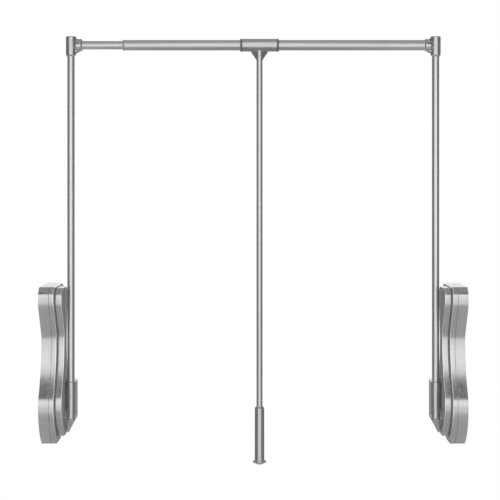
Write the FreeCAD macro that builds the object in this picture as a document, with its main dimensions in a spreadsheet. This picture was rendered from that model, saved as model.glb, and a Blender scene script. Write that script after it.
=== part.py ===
import FreeCAD, Part
import math
import os
import re
from types import SimpleNamespace
from FreeCAD import Placement, Rotation, Vector

# Pull down closet rod: two wall housings with sprung arms, a telescoping hanging rod between the
# arms, and a pull rod with a grip that brings the hanging rod down to the person.
#
# Millimetres. +Z is up and +Y points to the back of the closet. The plane X = 0 is the right side
# wall, and the closet lies towards -X. The origin is the centre of the right housing's four wall
# screws. "Inset" is a distance from a side wall towards the middle of the closet, and "up" is a
# height above the underside of the housings.

SIZES = [
    ("overall_width", 830.0, "wall to wall, as stored"),
    ("housing_height", 310.0, "height of each housing"),
    ("housing_half_depth", 57.0, "half of the housing's front to back size"),
    ("housing_waist", 23.5, "half depth of the housing at its waist"),
    ("waist_up", 202.0, "height of the waist"),
    ("back_shell_inset", 20.0, "seam between the two casing shells"),
    ("front_shell_inset", 30.5, "outer face of the front shell"),
    ("cover_inset", 44.0, "outer face of the raised cover"),
    ("cover_groove_width", 1.4, "shadow groove under the raised cover"),
    ("cover_groove_depth", 1.6, "depth of the shadow groove"),
    ("shell_wall", 2.2, "wall of the casing shells"),
    ("plate_thickness", 3.0, "steel wall plate"),
    ("wall_screw_spread", 56.0, "wall screws, front to back"),
    ("wall_screw_rise", 260.0, "wall screws, bottom to top"),
    ("wall_screw_hole", 5.5, "hole for a 5 mm wall screw"),
    ("pivot_up", 50.0, "height of the pivot shaft"),
    ("rod_up", 784.0, "height of the hanging rod's axis"),
    ("arm_inset", 54.2, "arm tube's axis"),
    ("arm_diameter", 14.4, "arm tube"),
    ("arm_wall", 1.5, "wall of the arm tube"),
    ("shaft_diameter", 14.0, "pivot shaft in the cover"),
    ("shaft_tail", 10.0, "pivot shaft in the wall plate"),
    ("shaft_square", 9.0, "square drive end of the shaft"),
    ("bracket_inset", 44.6, "inner face of the arm bracket"),
    ("bracket_half", 9.2, "half width of the arm bracket"),
    ("bracket_back", 27.0, "back face of the arm bracket"),
    ("bracket_top_up", 119.0, "top of the arm bracket"),
    ("gear_module", 1.5, "module of rack and pinion"),
    ("pinion_width", 10.0, "face width of rack and pinion"),
    ("pinion_inset", 10.0, "wall side of the pinion"),
    ("drive_inset", 15.0, "centre plane of rack, spring and damper"),
    ("rack_back", 24.0, "back of the rack bar"),
    ("rack_foot_up", 14.0, "lower end of the rack bar"),
    ("crosshead_up", 72.0, "underside of the rack's crosshead"),
    ("crosshead_height", 8.0, "height of the crosshead"),
    ("anchor_up", 215.0, "underside of the anchor block"),
    ("anchor_height", 8.0, "height of the anchor block"),
    ("spring_wire", 2.6, "spring wire"),
    ("spring_mean", 16.0, "mean diameter of the spring"),
    ("spring_turns", 16.0, "turns of the spring"),
    ("spring_back", 9.0, "spring's axis behind the pivot"),
    ("guide_rod", 8.0, "rod inside the spring"),
    ("damper_front", 11.0, "damper's axis in front of the pivot"),
    ("damper_diameter", 14.0, "damper body"),
    ("damper_bore", 10.0, "bore of the damper"),
    ("damper_stem", 4.0, "damper rod"),
    ("damper_up", 112.0, "lower end of the damper"),
    ("damper_length", 123.0, "length of the damper with its gland"),
    ("gland_height", 6.0, "height of the damper's gland"),
    ("running_gap", 0.05, "radial gap of a running fit"),
    ("outer_tube_diameter", 20.8, "outer hanging tube"),
    ("inner_tube_diameter", 16.8, "inner hanging tube"),
    ("hanging_wall", 1.2, "wall of the hanging tubes"),
    ("outer_tube_length", 606.0, "outer hanging tube"),
    ("inner_tube_length", 458.0, "inner hanging tube"),
    ("glide_length", 20.0, "glide on the end of the inner tube"),
    ("mouth_ring_length", 4.0, "visible ring at the outer tube's mouth"),
    ("corner_bore_depth", 13.3, "depth of the rod socket in a corner joint"),
    ("corner_reach", 22.3, "from the arm's axis to the mouth of a corner joint"),
    ("sleeve_length", 76.0, "pull sleeve with both end rings"),
    ("sleeve_diameter", 25.6, "pull sleeve"),
    ("sleeve_wall", 1.2, "wall of the pull sleeve"),
    ("sleeve_ring", 4.0, "visible end ring of a sleeve bush"),
    ("sleeve_offset", 12.3, "sleeve, from the middle towards the right"),
    ("pull_rod_diameter", 12.0, "pull rod"),
    ("pull_rod_wall", 1.2, "wall of the pull rod"),
    ("socket_diameter", 14.0, "sleeve's socket for the pull rod"),
    ("socket_depth", 29.5, "sleeve's socket, below the hanging rod's axis"),
    ("grip_top_up", 69.0, "top of the grip"),
    ("grip_bottom_up", -35.5, "bottom of the grip"),
    ("grip_bottom_diameter", 19.2, "grip at its lower end"),
    ("cap_width", 27.8, "end cap over its two side ears"),
    ("cap_height", 8.7, "end cap of the grip"),
]

TURN = {
    "X": Rotation(Vector(0, 1, 0), 90),
    "Y": Rotation(Vector(1, 0, 0), -90),
    "Z": Rotation(),
}
PINION_TEETH = 20
RACK_TEETH = 9
BACKLASH = 0.075         # taken off each side of a tooth
THROUGH = "90"           # depth of a pocket that goes right through any piece
PRESSURE_ANGLE = math.radians(20)

doc = FreeCAD.newDocument("PullDownClosetRod")
sheet = doc.addObject("Spreadsheet::Sheet", "Sizes")
for row, (alias, number, note) in enumerate(SIZES, start=1):
    sheet.set(f"A{row}", note)
    sheet.set(f"B{row}", str(number))
    sheet.setAlias(f"B{row}", alias)
doc.recompute()
size = SimpleNamespace(**{alias: number for alias, number, note in SIZES})

# Heights in the model's frame: the wall screws' centre is half way up the housing.
HALF_HEIGHT = size.housing_height / 2
PIVOT_Z = size.pivot_up - HALF_HEIGHT
ROD_Z = size.rod_up - HALF_HEIGHT
MIDDLE_X = -size.overall_width / 2
ARM_X = -size.arm_inset
DRIVE_X = -size.drive_inset
PITCH_RADIUS = size.gear_module * PINION_TEETH / 2

pieces = {}


# ---------------------------------------------------------------- building blocks

def bind(text):
    """Point every size name in an expression at the spreadsheet."""
    return re.sub(r"[a-z][a-z_]+", lambda word: "Sizes." + word.group(0), text)


def keep(label, piece):
    """Name a finished piece and put it on the list of nodes."""
    piece.Label = label
    pieces[label] = piece
    return piece


def height(up):
    """Height above the housing's underside, turned into Z."""
    return up - HALF_HEIGHT


def bar(diameter, length, start, axis):
    """Round bar from start along +X, +Y or +Z."""
    solid = doc.addObject("Part::Cylinder", "bar")
    solid.setExpression("Radius", bind(f"({diameter}) / 2"))
    solid.setExpression("Height", bind(length))
    solid.Placement = Placement(Vector(*start), TURN[axis])
    return solid


def block(lengths, corner):
    """Rectangular block with its lowest corner at corner."""
    solid = doc.addObject("Part::Box", "block")
    for field, length in zip(("Length", "Width", "Height"), lengths):
        solid.setExpression(field, bind(length))
    solid.Placement = Placement(Vector(*corner), Rotation())
    return solid


def fused(parts):
    """One solid made of several."""
    solid = doc.addObject("Part::MultiFuse", "fused")
    solid.Shapes = parts
    return solid


def group(parts):
    """Separate identical solids kept as one piece."""
    compound = doc.addObject("Part::Compound", "group")
    compound.Links = parts
    return compound


def cut(base, tools):
    """Base with every tool taken away."""
    solid = doc.addObject("Part::Cut", "cut")
    solid.Base = base
    solid.Tool = tools[0] if len(tools) == 1 else fused(tools)
    return solid


def tube(outer, inner, length, start, axis):
    """Round tube from start along +X, +Y or +Z."""
    return cut(bar(outer, length, start, axis), [bar(inner, length, start, axis)])


def mirrored(label, source):
    """The left piece that faces a right piece across the closet."""
    mirror = doc.addObject("Part::Mirroring", label)
    mirror.Source = source
    mirror.Normal = Vector(1, 0, 0)
    mirror.Base = Vector(MIDDLE_X, 0, 0)
    return keep(label, mirror)


def new_body(label, place=(0, 0, 0)):
    """Empty PartDesign body at its place in the assembly."""
    body = doc.addObject("PartDesign::Body", label)
    body.Placement = Placement(Vector(*place), Rotation())
    return keep(label, body)


def sketch(body, plane, geometry, offset=0.0):
    """Sketch on one of the body's own origin planes, moved along the plane's normal."""
    profile = body.newObject("Sketcher::SketchObject", body.Name + "_sketch")
    support = next(face for face in body.Origin.OriginFeatures if face.Role == plane)
    profile.AttachmentSupport = (support, [""])
    profile.MapMode = "FlatFace"
    profile.AttachmentOffset = Placement(Vector(0, 0, offset), Rotation())
    for shape in geometry:
        profile.addGeometry(shape, False)
    doc.recompute()
    return profile


def path(start, *steps):
    """Closed run of lines and arcs. A step is an end point, or an arc's mid point and end point."""
    geometry = []
    here = Vector(start[0], start[1], 0)
    for step in steps + (start,):
        is_arc = isinstance(step[0], tuple)
        end = Vector(*(step[1] if is_arc else step), 0)
        if is_arc:
            geometry.append(Part.Arc(here, Vector(*step[0], 0), end))
        elif here.distanceToPoint(end) > 1e-7:
            geometry.append(Part.LineSegment(here, end))
        here = end
    return geometry


def circle(centre, diameter):
    """Circle for a sketch."""
    return Part.Circle(Vector(centre[0], centre[1], 0), Vector(0, 0, 1), diameter / 2)


def pad(body, profile, length, reverse=False, midplane=False):
    """Pad a sketch along its normal, or against it."""
    feature = body.newObject("PartDesign::Pad", body.Name + "_pad")
    feature.Profile = profile
    feature.setExpression("Length", bind(length))
    feature.Reversed = reverse
    feature.Midplane = midplane
    doc.recompute()
    return feature


def pocket(body, profile, length, reverse=False, midplane=False):
    """Pocket a sketch against its normal, or along it, and check that it cut something."""
    before = body.Shape.Volume
    feature = body.newObject("PartDesign::Pocket", body.Name + "_pocket")
    feature.Profile = profile
    feature.setExpression("Length", bind(length))
    feature.Reversed = reverse
    feature.Midplane = midplane
    doc.recompute()
    if body.Shape.Volume > before - 0.5:
        raise RuntimeError(f"a pocket of {body.Label} cuts nothing")
    return feature


def revolve(body, profile, axis):
    """Turn a sketch once round its own horizontal or vertical axis."""
    feature = body.newObject("PartDesign::Revolution", body.Name + "_turned")
    feature.Profile = profile
    feature.ReferenceAxis = (profile, [axis])
    feature.Angle = 360
    doc.recompute()
    return feature


def loft(body, sections):
    """Smooth solid through two or more sketches of the body."""
    feature = body.newObject("PartDesign::AdditiveLoft", body.Name + "_loft")
    feature.Profile = sections[0]
    feature.Sections = sections[1:]
    doc.recompute()
    return feature


def dress(body, kind, amount, chosen):
    """Fillet or chamfer the edges of the body's tip for which chosen(edge) is true."""
    base = body.Tip
    names = [f"Edge{i}" for i, edge in enumerate(base.Shape.Edges, start=1) if chosen(edge)]
    feature = body.newObject("PartDesign::" + kind, body.Name + "_" + kind.lower())
    feature.Base = (base, names)
    if kind == "Fillet":
        feature.Radius = amount
    else:
        feature.Size = amount
    doc.recompute()
    return feature


def flat_at(axis, place):
    """Edge test: the whole edge lies in the plane across an axis at place."""
    low, high = axis + "Min", axis + "Max"

    def test(edge):
        box = edge.BoundBox
        return abs(getattr(box, low) - place) < 1e-4 and abs(getattr(box, high) - place) < 1e-4
    return test


# ---------------------------------------------------------------- housing outlines (Y, Z)

def lobe(half_width, up, radius):
    """Circle of a lobe as its centre's Y and up with its radius, outermost at half_width."""
    return (half_width - radius, up, radius)


# Each side of a bone shaped outline runs from the flat top over the top corner, the shoulder, a
# straight flank, the tight upper and the wide lower curve of the waist, another flank, the hip and
# the keel, which is the large circle under the hip, to the toe and the flat bottom.
CASING_SIDE = SimpleNamespace(
    top=size.housing_height, corner=18.0, shoulder=lobe(size.housing_half_depth, 286.0, 50.0),
    waist=size.housing_waist, waist_up=size.waist_up, upper_curve=40.0, lower_curve=200.0,
    hip=lobe(size.housing_half_depth, 78.0, 44.0), keel=lobe(size.housing_half_depth, 78.0, 100.0),
    toe=3.0, bottom=0.0)
COVER_FRONT = SimpleNamespace(
    top=307.0, corner=17.0, shoulder=lobe(45.0, 284.0, 45.0),
    waist=12.0, waist_up=size.waist_up, upper_curve=40.0, lower_curve=195.0,
    hip=lobe(46.0, 78.0, 45.0), keel=lobe(46.0, 78.0, 80.0), toe=14.0, bottom=13.0)
COVER_BACK = SimpleNamespace(
    top=307.0, corner=17.0, shoulder=lobe(21.0, 284.0, 40.0),
    waist=12.0, waist_up=size.waist_up, upper_curve=40.0, lower_curve=230.0,
    hip=lobe(41.0, 78.0, 45.0), keel=lobe(41.0, 78.0, 80.0), toe=14.0, bottom=13.0)


def waist_curve(lobe_circle, side, radius, inward):
    """From a lobe to the waist: tangent point on the lobe, then start, middle and end of the curve."""
    lobe_y, lobe_up, lobe_radius = lobe_circle
    lobe_centre = Vector(lobe_y, lobe_up, 0)
    centre = Vector(side.waist + radius, side.waist_up, 0)
    between = centre - lobe_centre
    turn = math.atan2(between.y, between.x)
    turn -= math.copysign(math.acos((lobe_radius + radius) / between.Length), turn)
    facing = Vector(math.cos(turn), math.sin(turn), 0)
    to_waist = Vector(-1, 0, 0)
    reach = radius + inward
    half_way = (to_waist - facing).normalize()
    points = [lobe_centre + facing * (lobe_radius - inward), centre - facing * reach,
              centre + half_way * reach, centre + to_waist * reach]
    return [(point.x, height(point.y)) for point in points]


def arc_between(circle_spec, start, end, inward=0.0):
    """Mid point of the short arc between two points of a circle, with the end point."""
    y, up, radius = circle_spec
    centre = Vector(y, height(up), 0)
    first = (Vector(*start, 0) - centre).normalize()
    last = (Vector(*end, 0) - centre).normalize()
    middle = centre + (first + last).normalize() * (radius - inward)
    return ((middle.x, middle.y), end)


def outermost(circle_spec, inward):
    """Point of a lobe circle farthest from the middle."""
    y, up, radius = circle_spec
    return (y + radius - inward, height(up))


def bone_side(side, inward):
    """One side of the outline in +Y, moved inwards: its start on the top, and the steps down."""
    shoulder = outermost(side.shoulder, inward)
    hip = outermost(side.hip, inward)
    out = shoulder[0]
    top = height(side.top - inward)
    corner = side.corner - inward
    corner_mid = Vector(out - corner, top - corner, 0) + Vector(1, 1, 0).normalize() * corner
    upper = waist_curve(side.shoulder, side, side.upper_curve, inward)
    lower = waist_curve(side.hip, side, side.lower_curve, inward)
    keel_y, keel_up, keel_radius = side.keel
    keel_reach = keel_radius - inward
    floor_up = side.bottom + inward
    toe_drop = keel_up - floor_up - side.toe
    toe_out = math.sqrt((keel_reach - side.toe) ** 2 - toe_drop ** 2)
    toe_centre = Vector(keel_y + toe_out, height(floor_up + side.toe), 0)
    keel_centre = Vector(keel_y, height(keel_up), 0)
    keel_way = (toe_centre - keel_centre).normalize()
    keel_end = keel_centre + keel_way * keel_reach
    toe_mid = toe_centre + (keel_way + Vector(0, -1, 0)).normalize() * side.toe
    steps = [
        ((corner_mid.x, corner_mid.y), (out, top - corner)),
        shoulder,
        arc_between(side.shoulder, shoulder, upper[0], inward),
        upper[1],
        (upper[2], upper[3]),
        (lower[2], lower[1]),
        lower[0],
        arc_between(side.hip, lower[0], hip, inward),
        arc_between(side.keel, hip, (keel_end.x, keel_end.y), inward),
        ((toe_mid.x, toe_mid.y), (toe_centre.x, height(floor_up))),
    ]
    return (out - corner, top), steps


def mirror_y(point):
    """The same point on the other side of the housing."""
    return (-point[0], point[1])


def bone_outline(front, back, inward):
    """Closed outline of a front side in -Y and a back side in +Y."""
    back_start, down = bone_side(back, inward)
    front_start, front_down = bone_side(front, inward)
    ends = [front_start] + [step[1] if isinstance(step[0], tuple) else step for step in front_down]
    up_again = []
    for step, begin in zip(reversed(front_down), reversed(ends[:-1])):
        is_arc = isinstance(step[0], tuple)
        up_again.append((mirror_y(step[0]), mirror_y(begin)) if is_arc else mirror_y(begin))
    return path(back_start, *down, mirror_y(ends[-1]), *up_again)


def casing_outline(inward=0.0):
    """Outline of the casing, moved inwards by a distance."""
    return bone_outline(CASING_SIDE, CASING_SIDE, inward)


def cover_outline(inward=0.0):
    """Outline of the raised cover, moved inwards by a distance."""
    return bone_outline(COVER_FRONT, COVER_BACK, inward)


# ---------------------------------------------------------------- right housing

CASING_SCREWS = [(-36.0, 60.0), (33.0, 72.0), (-25.0, 262.0), (6.0, 268.0)]
CASING_POST = 8.0
CASING_SCREW = 3.0
CASING_SCREW_HEAD = 6.0
CASING_SCREW_HEAD_TALL = 2.0
CASING_SCREW_LENGTH = 12.0
THREAD_DEPTH = 12.5
SCREW_SLOT = (0.8, 4.4, 1.0)    # depth, length, width
COVER_PEGS = [(-10.0, 295.0), (0.0, 150.0), (-2.0, 22.0)]
COVER_PEG = 4.0
STOP_SHELF = (13.0, 22.0, 6.0, 9.0)    # Y from, Y to, up from, up to
PLATE_GAP = 0.2
COVER_FACE = 2.0
COVER_HOLE = 20.0
SEAM_CHAMFER = 0.5
FRONT_ROUND = 2.6
COVER_ROUND = 2.2
SHELL_INNER = size.front_shell_inset - size.shell_wall


def wall_plate():
    """Steel plate on the wall, with threaded posts for the casing and a shelf under the rack."""
    body = new_body("right_wall_plate")
    edge = size.shell_wall + PLATE_GAP
    pad(body, sketch(body, "YZ_Plane", casing_outline(edge)), "plate_thickness", reverse=True)
    posts = [circle((y, height(up)), CASING_POST) for y, up in CASING_SCREWS]
    reach = "front_shell_inset - shell_wall"
    pad(body, sketch(body, "YZ_Plane", posts), reach, reverse=True)
    y_from, y_to, up_from, up_to = STOP_SHELF
    shelf = path((y_from, height(up_from)), (y_to, height(up_from)),
                 (y_to, height(up_to)), (y_from, height(up_to)))
    pad(body, sketch(body, "YZ_Plane", shelf), "pinion_inset + pinion_width", reverse=True)
    threads = [circle((y, height(up)), CASING_SCREW) for y, up in CASING_SCREWS]
    pocket(body, sketch(body, "YZ_Plane", threads, -SHELL_INNER), f"{THREAD_DEPTH}", reverse=True)
    half_spread = size.wall_screw_spread / 2
    half_rise = size.wall_screw_rise / 2
    holes = [circle((y, z), size.wall_screw_hole)
             for y in (-half_spread, half_spread) for z in (-half_rise, half_rise)]
    pocket(body, sketch(body, "YZ_Plane", holes), "plate_thickness")


def casing_back():
    """Ring shaped shell against the wall."""
    body = new_body("right_casing_back")
    pad(body, sketch(body, "YZ_Plane", casing_outline()), "back_shell_inset", reverse=True)
    dress(body, "Chamfer", SEAM_CHAMFER, flat_at("X", -size.back_shell_inset))
    pocket(body, sketch(body, "YZ_Plane", casing_outline(size.shell_wall)), "back_shell_inset")


def casing_front():
    """Front shell with a closed face, clear of the shaft and drilled for screws and pegs."""
    body = new_body("right_casing_front")
    depth = "front_shell_inset - back_shell_inset"
    seam = -size.back_shell_inset
    pad(body, sketch(body, "YZ_Plane", casing_outline(), seam), depth, reverse=True)
    dress(body, "Fillet", FRONT_ROUND, flat_at("X", -size.front_shell_inset))
    dress(body, "Chamfer", SEAM_CHAMFER, flat_at("X", seam))
    hollow = casing_outline(size.shell_wall)
    pocket(body, sketch(body, "YZ_Plane", hollow, seam), depth + " - shell_wall")
    holes = [circle((y, height(up)), CASING_SCREW) for y, up in CASING_SCREWS]
    holes += [circle((y, height(up)), COVER_PEG) for y, up in COVER_PEGS]
    holes.append(circle((0, PIVOT_Z), COVER_HOLE))
    pocket(body, sketch(body, "YZ_Plane", holes, seam), depth)


def cover():
    """Raised cover over the mechanism, with a shadow groove at its foot and three snap pegs."""
    body = new_body("right_cover")
    foot = -size.front_shell_inset
    neck = cover_outline(size.cover_groove_depth)
    pad(body, sketch(body, "YZ_Plane", neck, foot), "cover_groove_width", reverse=True)
    rim = foot - size.cover_groove_width
    height_above = "cover_inset - front_shell_inset - cover_groove_width"
    pad(body, sketch(body, "YZ_Plane", cover_outline(), rim), height_above, reverse=True)
    dress(body, "Fillet", COVER_ROUND, flat_at("X", -size.cover_inset))
    hollow = cover_outline(size.cover_groove_depth + COVER_FACE)
    depth = f"cover_inset - front_shell_inset - {COVER_FACE}"
    pocket(body, sketch(body, "YZ_Plane", hollow, foot), depth)
    pegs = [circle((y, height(up)), COVER_PEG) for y, up in COVER_PEGS]
    peg_start = COVER_FACE - size.cover_inset
    peg_length = f"cover_inset - {COVER_FACE} - front_shell_inset + shell_wall"
    pad(body, sketch(body, "YZ_Plane", pegs, peg_start), peg_length)
    hole = [circle((0, PIVOT_Z), COVER_HOLE)]
    pocket(body, sketch(body, "YZ_Plane", hole, foot), "cover_inset - front_shell_inset")


def casing_screws():
    """Four screws through the front shell into the posts, under the cover."""
    screws = []
    for y, up in CASING_SCREWS:
        z = height(up)
        face = -size.front_shell_inset
        top = face - CASING_SCREW_HEAD_TALL
        head = bar(f"{CASING_SCREW_HEAD}", f"{CASING_SCREW_HEAD_TALL}", (top, y, z), "X")
        shank = bar(f"{CASING_SCREW}", f"{CASING_SCREW_LENGTH}", (face, y, z), "X")
        slot_corner = (top, y - SCREW_SLOT[1] / 2, z - SCREW_SLOT[2] / 2)
        slot = block([f"{length}" for length in SCREW_SLOT], slot_corner)
        screws.append(cut(fused([head, shank]), [slot]))
    keep("right_casing_screws", group(screws))


def bushes():
    """Bronze bush on the wall plate and flanged bush in the cover, both for the pivot shaft."""
    bush_length = 6.0
    seat = (-size.plate_thickness - bush_length, 0, PIVOT_Z)
    tail_bore = "shaft_tail + 2 * running_gap"
    keep("right_plate_bush", tube("16", tail_bore, f"{bush_length}", seat, "X"))
    inner_face = COVER_FACE - size.cover_inset
    proud = 0.2
    flange = bar("24", "2.5", (inner_face, 0, PIVOT_Z), "X")
    collar = bar(f"{COVER_HOLE}", f"{COVER_FACE + proud}",
                 (-size.cover_inset - proud, 0, PIVOT_Z), "X")
    bore = bar("shaft_diameter + 2 * running_gap", "8", (-size.cover_inset - 1, 0, PIVOT_Z), "X")
    keep("right_cover_bush", cut(fused([flange, collar]), [bore]))


# ---------------------------------------------------------------- right drive

SQUARE_LENGTH = 11.4     # drive end of the pivot shaft
HUB_SCREW = 5.0
HUB_SCREW_LENGTH = 11.0
SLIDE_GAP = 0.3          # between the rack and its guide
STOP_GAP = 0.1           # between the rack and the stop pad
ROD_FOOT = 2.0           # guide rod below the crosshead's underside
PISTON_TALL = 6.0
STEM_LENGTH = 74.0


def pivot_shaft():
    """Stepped shaft: tail in the wall plate, body in the cover, square end for the bracket."""
    tail_start = 3.3
    step_inset = size.pinion_inset - 0.5
    groove = (size.pinion_inset + size.pinion_width, 1.3, 12.6)
    body = new_body("right_pivot_shaft", (0, 0, PIVOT_Z))
    tail = size.shaft_tail / 2
    full = size.shaft_diameter / 2
    groove_from, groove_width, groove_diameter = groove
    groove_to = groove_from + groove_width
    profile = path(
        (-tail_start, 0), (-tail_start, tail), (-step_inset, tail), (-step_inset, full),
        (-groove_from, full), (-groove_from, groove_diameter / 2),
        (-groove_to, groove_diameter / 2), (-groove_to, full),
        (-size.bracket_inset, full), (-size.bracket_inset, 0))
    revolve(body, sketch(body, "XZ_Plane", profile), "H_Axis")
    half = size.shaft_square / 2
    square = path((-half, -half), (half, -half), (half, half), (-half, half))
    pad(body, sketch(body, "YZ_Plane", square, -size.bracket_inset), f"{SQUARE_LENGTH}",
        reverse=True)
    thread = [circle((0, 0), HUB_SCREW)]
    thread_mouth = -size.bracket_inset - SQUARE_LENGTH
    pocket(body, sketch(body, "YZ_Plane", thread, thread_mouth), "12", reverse=True)
    clip_start = (-groove_to, 0, PIVOT_Z)
    clip = tube("21", f"{groove_diameter}", f"{groove_width}", clip_start, "X")
    mouth = block(("3", "9", "14"), (-groove_to - 1, -4.5, PIVOT_Z - 14))
    keep("right_pinion_clip", cut(clip, [mouth]))


def involute(angle):
    """Involute function of a pressure angle."""
    return math.tan(angle) - angle


def pinion():
    """Spur pinion with involute teeth; one tooth points to the back at rest."""
    module = size.gear_module
    base_radius = PITCH_RADIUS * math.cos(PRESSURE_ANGLE)
    tip_radius = PITCH_RADIUS + module
    root_radius = PITCH_RADIUS - 1.25 * module
    half_tooth = (math.pi * module / 4 - BACKLASH) / PITCH_RADIUS

    def flank(radius, side):
        turn = half_tooth + involute(PRESSURE_ANGLE) - involute(math.acos(base_radius / radius))
        return (radius * math.cos(turn), side * radius * math.sin(turn))

    body = new_body("right_pinion", (-size.pinion_inset, 0, PIVOT_Z))
    disc = [circle((0, 0), 2 * root_radius)]
    pad(body, sketch(body, "YZ_Plane", disc), "pinion_width", reverse=True)
    base_point = base_radius + 0.001
    mid_radius = (base_radius + tip_radius) / 2
    inner = root_radius - 0.6
    half_root = flank(base_point, 1)[1]
    tooth = path(
        (inner, -half_root), flank(base_point, -1),
        (flank(mid_radius, -1), flank(tip_radius, -1)),
        ((tip_radius, 0), flank(tip_radius, 1)),
        (flank(mid_radius, 1), flank(base_point, 1)),
        (inner, half_root))
    one_tooth = pad(body, sketch(body, "YZ_Plane", tooth), "pinion_width", reverse=True)
    teeth = body.newObject("PartDesign::PolarPattern", "right_pinion_teeth")
    teeth.Originals = [one_tooth]
    teeth.Axis = (one_tooth.Profile[0], ["N_Axis"])
    teeth.Angle = 360
    teeth.Occurrences = PINION_TEETH
    body.Tip = teeth
    doc.recompute()
    bore = [circle((0, 0), size.shaft_diameter)]
    pocket(body, sketch(body, "YZ_Plane", bore), "pinion_width", reverse=False)


def rack():
    """Rack bar with a crosshead that lifts the spring and the damper rod."""
    module = size.gear_module
    root_y = PITCH_RADIUS + 1.25 * module
    body = new_body("right_rack", (-size.pinion_inset, 0, PIVOT_Z))
    foot = size.rack_foot_up - size.pivot_up
    top = size.crosshead_up - size.pivot_up + size.crosshead_height
    bar_shape = path((root_y, foot), (size.rack_back, foot), (size.rack_back, top), (root_y, top))
    pad(body, sketch(body, "YZ_Plane", bar_shape), "pinion_width", reverse=True)
    head_front = -18.0
    wing = 3.0
    under = size.crosshead_up - size.pivot_up
    head = path((head_front, under), (size.rack_back, under), (size.rack_back, top),
                (head_front, top))
    pad(body, sketch(body, "YZ_Plane", head, wing), f"pinion_width + {2 * wing}", reverse=True)
    slope = math.tan(PRESSURE_ANGLE)
    half_pitch_tooth = math.pi * module / 4 - BACKLASH
    half_tip = half_pitch_tooth - module * slope
    half_root = half_pitch_tooth + 1.25 * module * slope
    tip_y = PITCH_RADIUS - module
    pitch = math.pi * module
    first = -(RACK_TEETH - 2.5) * pitch
    overlap = 0.5
    tooth = path((tip_y, first - half_tip), (tip_y, first + half_tip), (root_y, first + half_root),
                 (root_y + overlap, first + half_root), (root_y + overlap, first - half_root),
                 (root_y, first - half_root))
    one_tooth = pad(body, sketch(body, "YZ_Plane", tooth), "pinion_width", reverse=True)
    teeth = body.newObject("PartDesign::LinearPattern", "right_rack_teeth")
    teeth.Originals = [one_tooth]
    teeth.Direction = (one_tooth.Profile[0], ["V_Axis"])
    teeth.Length = pitch * (RACK_TEETH - 1)
    teeth.Occurrences = RACK_TEETH
    body.Tip = teeth
    doc.recompute()
    middle = DRIVE_X + size.pinion_inset
    holes = [circle((middle, size.spring_back), size.guide_rod + 1.0),
             circle((middle, -size.damper_front), size.damper_stem)]
    pocket(body, sketch(body, "XY_Plane", holes, top), "crosshead_height")


def rack_supports():
    """Guide behind the rack and rubber pad under it, both on the wall plate."""
    guide_reach = "pinion_inset + pinion_width + 1 - plate_thickness"
    guide_inset = size.pinion_inset + size.pinion_width + 1
    guide_corner = (-guide_inset, size.rack_back + SLIDE_GAP, height(37))
    keep("right_rack_guide", block((guide_reach, "4.2", "26"), guide_corner))
    pad_corner = (-size.pinion_inset - size.pinion_width, 14.0, height(STOP_SHELF[3]))
    pad_tall = f"rack_foot_up - {STOP_SHELF[3]} - {STOP_GAP}"
    reach = "pinion_inset + pinion_width - plate_thickness"
    keep("right_stop_pad", block((reach, "8", pad_tall), pad_corner))


def lift_spring():
    """Compression spring between the crosshead and the anchor block, with its guide rod."""
    start_z = height(size.crosshead_up + size.crosshead_height) + size.spring_wire / 2
    body = new_body("right_lift_spring", (DRIVE_X, size.spring_back, start_z))
    wire = [circle((size.spring_mean / 2, 0), size.spring_wire)]
    coil = body.newObject("PartDesign::AdditiveHelix", "right_lift_spring_coil")
    coil.Profile = sketch(body, "XZ_Plane", wire)
    coil.ReferenceAxis = (coil.Profile[0], ["V_Axis"])
    coil.Mode = 1
    travel = "anchor_up - crosshead_up - crosshead_height - spring_wire"
    coil.setExpression("Pitch", bind(f"({travel}) / spring_turns"))
    coil.setExpression("Turns", bind("spring_turns"))
    doc.recompute()
    rod_start = (DRIVE_X, size.spring_back, height(size.crosshead_up - ROD_FOOT))
    rod_length = f"anchor_up + anchor_height - crosshead_up + {ROD_FOOT}"
    keep("right_spring_rod", bar("guide_rod", rod_length, rod_start, "Z"))


def anchor_block():
    """Block on the wall plate that holds the guide rod and the damper from above."""
    reach = 25.0
    corner = (-reach, -20.0, height(size.anchor_up))
    solid = block((f"{reach} - plate_thickness", "40", "anchor_height"), corner)
    base = height(size.anchor_up)
    rod_hole = bar("guide_rod", "anchor_height", (DRIVE_X, size.spring_back, base), "Z")
    damper_hole = bar("damper_diameter", "anchor_height", (DRIVE_X, -size.damper_front, base), "Z")
    keep("right_anchor_block", cut(solid, [rod_hole, damper_hole]))


def damper():
    """Slow return damper: body with a gland, and a rod with a piston fixed in the crosshead."""
    y = -size.damper_front
    gland_start = (DRIVE_X, y, height(size.damper_up))
    body_start = (DRIVE_X, y, height(size.damper_up + size.gland_height))
    stem_bore = "damper_stem + 2 * running_gap"
    keep("right_damper_gland", tube("damper_diameter", stem_bore, "gland_height", gland_start, "Z"))
    body_length = "damper_length - gland_height"
    hollow = bar("damper_bore", body_length + " - 3", body_start, "Z")
    keep("right_damper_body", cut(bar("damper_diameter", body_length, body_start, "Z"), [hollow]))
    stem_start = (DRIVE_X, y, height(size.crosshead_up))
    stem = bar("damper_stem", f"{STEM_LENGTH}", stem_start, "Z")
    piston_start = (DRIVE_X, y, height(size.crosshead_up + STEM_LENGTH - PISTON_TALL))
    piston = bar("damper_bore - 2 * running_gap", f"{PISTON_TALL}", piston_start, "Z")
    keep("right_damper_rod", fused([stem, piston]))


# ---------------------------------------------------------------- arms and corner joints

SET_SCREW = 4.0
SET_SCREW_LENGTH = 3.0
BRACKET_SCREW_UPS = [88.0, 106.0]
HUB_SEAT = 59.5
HUB_HEAD = 9.4
HUB_DISC = 38.0
ARM_SOCKET_UP = 72.0
CORNER_FOOT = -22.5
CORNER_TOP = 17.2
CORNER_RING = 17.0       # start of the raised ring round the boss, from the arm's axis
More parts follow.
